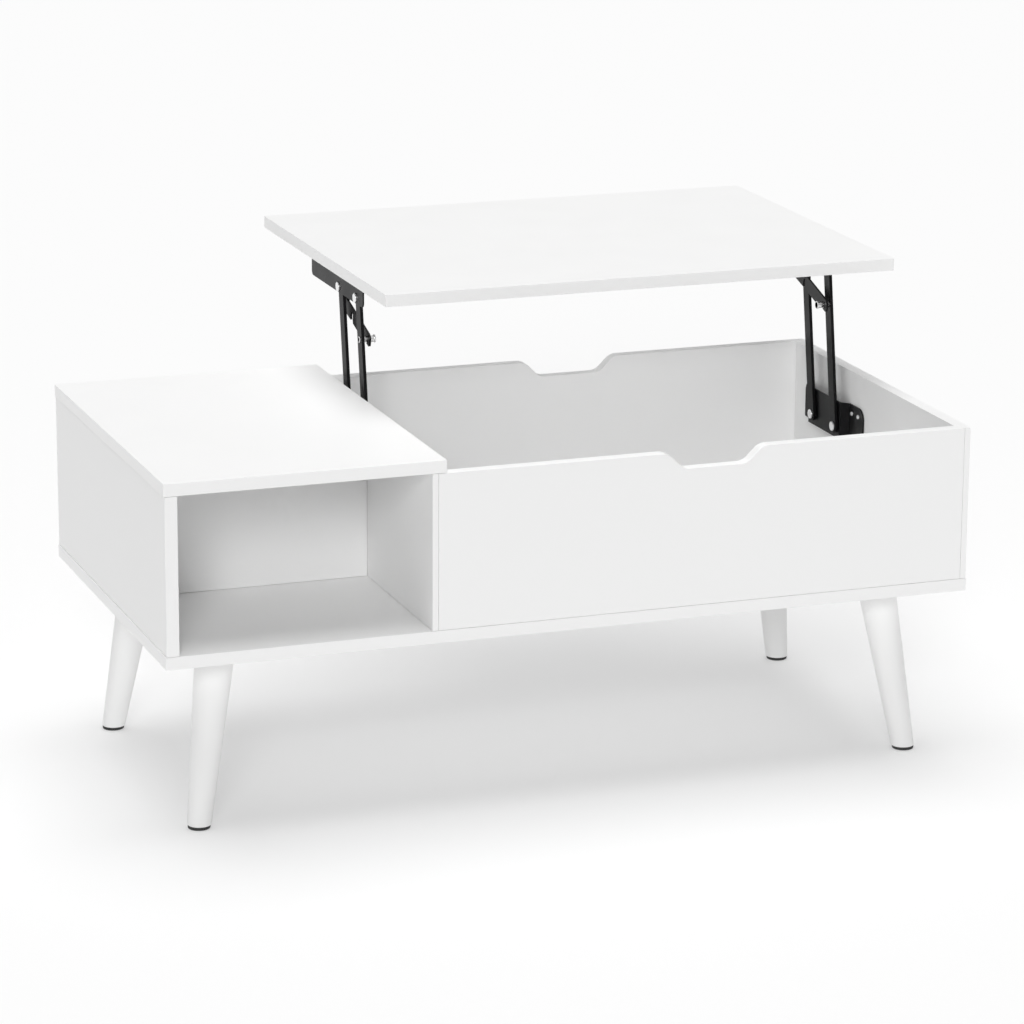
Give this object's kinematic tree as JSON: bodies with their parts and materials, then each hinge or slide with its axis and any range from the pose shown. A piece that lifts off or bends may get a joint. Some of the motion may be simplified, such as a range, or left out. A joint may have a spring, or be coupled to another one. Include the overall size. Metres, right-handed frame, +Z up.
{
  "type": "lift top coffee table",
  "caption": "Low rectangular table with open cubbies at one end and a storage box under a top that lifts level on parallelogram hinges; splayed round legs.",
  "frame": {"origin": "centre of the whole table's footprint with the top raised, on the floor", "axes": "+X to the right as seen from the front, which is the side the lifting top moves away from; -Y is the front; +Z up"},
  "size_m": [1, 0.7298, 0.5753],
  "materials": {
    "white_board": "satin white foil on particle board",
    "white_leg": "satin white paint on turned wood",
    "black_steel": "semi-gloss black powder coat",
    "zinc_steel": "bright zinc plate",
    "black_glide": "matte black"
  },
  "bodies": {
    "carcass": {"base_panel": "white_board", "left_side_panel": "white_board", "divider_panel": "white_board", "right_side_panel": "white_board", "cubby_back_panel": "white_board", "front_panel": "white_board", "back_panel": "white_board", "fixed_top": "white_board", "leg_front_left": "white_leg", "leg_front_right": "white_leg", "leg_back_left": "white_leg", "leg_back_right": "white_leg", "glide_front_left": "black_glide", "glide_front_right": "black_glide", "glide_back_left": "black_glide", "glide_back_right": "black_glide", "leg_bolt_front_left": "zinc_steel", "leg_bolt_front_right": "zinc_steel", "leg_bolt_back_left": "zinc_steel", "leg_bolt_back_right": "zinc_steel", "base_screw_left_front": "zinc_steel", "base_screw_left_back": "zinc_steel", "base_screw_divider_front": "zinc_steel", "base_screw_divider_back": "zinc_steel", "base_screw_right_front": "zinc_steel", "base_screw_right_back": "zinc_steel", "left_base_plate": "black_steel", "left_rear_lower_rivet": "zinc_steel", "left_front_lower_rivet": "zinc_steel", "left_plate_screw_front": "zinc_steel", "left_plate_screw_middle": "zinc_steel", "left_plate_screw_rear": "zinc_steel", "right_base_plate": "black_steel", "right_rear_lower_rivet": "zinc_steel", "right_front_lower_rivet": "zinc_steel", "right_plate_screw_front": "zinc_steel", "right_plate_screw_middle": "zinc_steel", "right_plate_screw_rear": "zinc_steel"},
    "lift_top": {"lift_top": "white_board", "left_top_bracket": "black_steel", "left_rear_upper_rivet": "zinc_steel", "left_front_upper_rivet": "zinc_steel", "left_latch_rivet": "zinc_steel", "left_bracket_screw_rear": "zinc_steel", "left_bracket_screw_middle": "zinc_steel", "right_top_bracket": "black_steel", "right_rear_upper_rivet": "zinc_steel", "right_front_upper_rivet": "zinc_steel", "right_latch_rivet": "zinc_steel", "right_bracket_screw_rear": "zinc_steel", "right_bracket_screw_middle": "zinc_steel"},
    "left_rear_arm": {"left_rear_arm": "black_steel"},
    "left_front_arm": {"left_front_arm": "black_steel", "left_latch_pin": "zinc_steel"},
    "left_latch": {"left_latch": "black_steel"},
    "right_rear_arm": {"right_rear_arm": "black_steel"},
    "right_front_arm": {"right_front_arm": "black_steel", "right_latch_pin": "zinc_steel"},
    "right_latch": {"right_latch": "black_steel"}
  },
  "joints": [
    {"name": "lift", "type": "hinge", "parent": "carcass", "child": "left_rear_arm", "pos_m": [-0.1525, 0.03313, 0.34029], "axis": [1, 0, 0], "range_deg": [0, 82.5]},
    {"name": "left_front_arm_pivot", "type": "hinge", "parent": "carcass", "child": "left_front_arm", "pos_m": [-0.1525, -0.03487, 0.34029], "axis": [1, 0, 0], "range_deg": [0, 82.5]},
    {"name": "right_rear_arm_pivot", "type": "hinge", "parent": "carcass", "child": "right_rear_arm", "pos_m": [0.47, 0.03313, 0.34029], "axis": [1, 0, 0], "range_deg": [0, 82.5]},
    {"name": "right_front_arm_pivot", "type": "hinge", "parent": "carcass", "child": "right_front_arm", "pos_m": [0.47, -0.03487, 0.34029], "axis": [1, 0, 0], "range_deg": [0, 82.5]},
    {"name": "lift_top_pivot", "type": "hinge", "parent": "left_rear_arm", "child": "lift_top", "pos_m": [-0.1525, 0.06535, 0.54376], "axis": [1, 0, 0], "range_deg": [-82.5, 0]},
    {"name": "left_latch_pivot", "type": "hinge", "parent": "lift_top", "child": "left_latch", "pos_m": [-0.14475, 0.07835, 0.52076], "axis": [1, 0, 0], "range_deg": [-32.5, 0]},
    {"name": "right_latch_pivot", "type": "hinge", "parent": "lift_top", "child": "right_latch", "pos_m": [0.46225, 0.07835, 0.52076], "axis": [1, 0, 0], "range_deg": [-32.5, 0]}
  ],
  "couplings": [
    {"joint": "left_front_arm_pivot", "follows": "lift", "ratio": 1},
    {"joint": "right_rear_arm_pivot", "follows": "lift", "ratio": 1},
    {"joint": "right_front_arm_pivot", "follows": "lift", "ratio": 1},
    {"joint": "lift_top_pivot", "follows": "lift", "ratio": -1},
    {"joint": "left_latch_pivot", "follows": "lift", "ratio": -0.39394},
    {"joint": "right_latch_pivot", "follows": "lift", "ratio": -0.39394}
  ]
}
